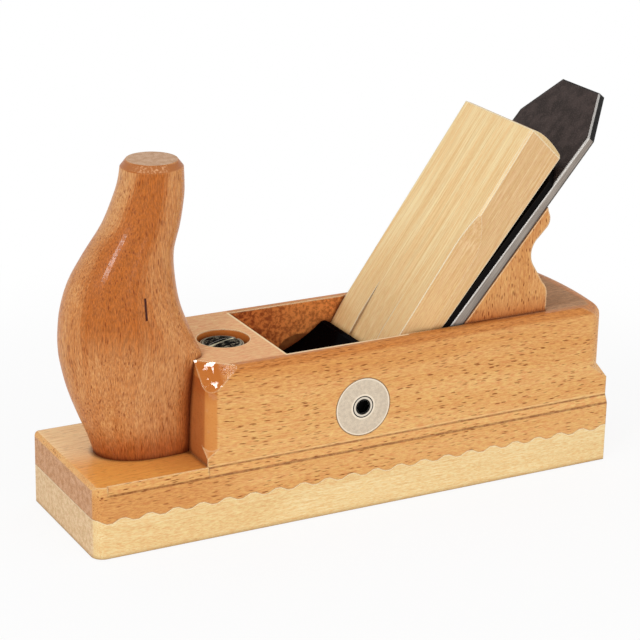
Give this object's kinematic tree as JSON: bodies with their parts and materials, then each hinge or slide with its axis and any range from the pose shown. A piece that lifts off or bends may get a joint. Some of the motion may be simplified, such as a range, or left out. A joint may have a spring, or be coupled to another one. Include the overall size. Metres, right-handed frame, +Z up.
{
  "type": "smoothing plane",
  "caption": "Wooden smoothing plane with front horn, sliding mouth shoe, wedged double iron, steel abutment bar and rear hand rest.",
  "frame": {"origin": "on the sole's working face, at the middle of its length and width", "axes": "+X from toe to heel, +Y to the plane's right seen from the heel, +Z up from the sole"},
  "size_m": [0.2235, 0.06, 0.1469],
  "materials": {
    "beech": "satin varnish, short dark flecks along the grain",
    "horn_beech": "satin varnish, upright grain",
    "hornbeam": "fine plain grain, light varnish",
    "wedge_wood": "planed, fine straight grain, light varnish",
    "dowel_wood": "turned or planed, bare",
    "black_steel": "black finish, worn brown-grey on the iron's head",
    "bar_black": "glossy black lacquer",
    "screw_steel": "turned and polished",
    "bush_metal": "matte, light grey"
  },
  "bodies": {
    "stock": {"stock": "beech", "sole": "hornbeam", "horn": "horn_beech", "horn_tongue": "dowel_wood", "horn_dowel": "dowel_wood", "hand_rest": "beech", "rest_dowels": "dowel_wood", "abutment_bar": "bar_black", "bush_left": "bush_metal", "bush_right": "bush_metal", "strike_button": "hornbeam"},
    "mouth_shoe": {"mouth_shoe": "hornbeam", "mouth_nut": "screw_steel", "mouth_washer": "screw_steel"},
    "mouth_screw": {"mouth_screw": "screw_steel"},
    "iron": {"iron": "black_steel"},
    "cap_iron": {"cap_iron": "black_steel", "cap_boss": "screw_steel"},
    "cap_screw": {"cap_screw": "screw_steel"},
    "wedge": {"wedge": "wedge_wood"},
    "bar_screw_left": {"bar_screw_left": "screw_steel"},
    "bar_screw_right": {"bar_screw_right": "screw_steel"}
  },
  "joints": [
    {"name": "shoe_slide", "type": "slide", "parent": "stock", "child": "mouth_shoe", "axis": [1, 0, 0], "range_m": [-0.0009, 0.002]},
    {"name": "mouth_screw_turn", "type": "hinge", "parent": "mouth_shoe", "child": "mouth_screw", "pos_m": [-0.04593, 0, 0.06], "axis": [0, 0, 1], "continuous": true},
    {"name": "iron_slide", "type": "slide", "parent": "stock", "child": "iron", "axis": [0.6428, 0, 0.766], "range_m": [-0.0006, 0.003]},
    {"name": "cap_slide", "type": "slide", "parent": "iron", "child": "cap_iron", "axis": [0.6546, 0, 0.756], "range_m": [-0.0008, 0.0025]},
    {"name": "cap_screw_turn", "type": "hinge", "parent": "cap_iron", "child": "cap_screw", "pos_m": [0.02809, 0, 0.05312], "axis": [-0.756, 0, 0.6546], "continuous": true},
    {"name": "wedge_slide", "type": "slide", "parent": "stock", "child": "wedge", "axis": [0.6546, 0, 0.756], "range_m": [0, 0.06]},
    {"name": "bar_screw_left_turn", "type": "hinge", "parent": "stock", "child": "bar_screw_left", "pos_m": [-0.00064, -0.0284, 0.04071], "axis": [0, -1, 0], "continuous": true},
    {"name": "bar_screw_right_turn", "type": "hinge", "parent": "stock", "child": "bar_screw_right", "pos_m": [-0.00064, 0.0284, 0.04071], "axis": [0, 1, 0], "continuous": true}
  ]
}
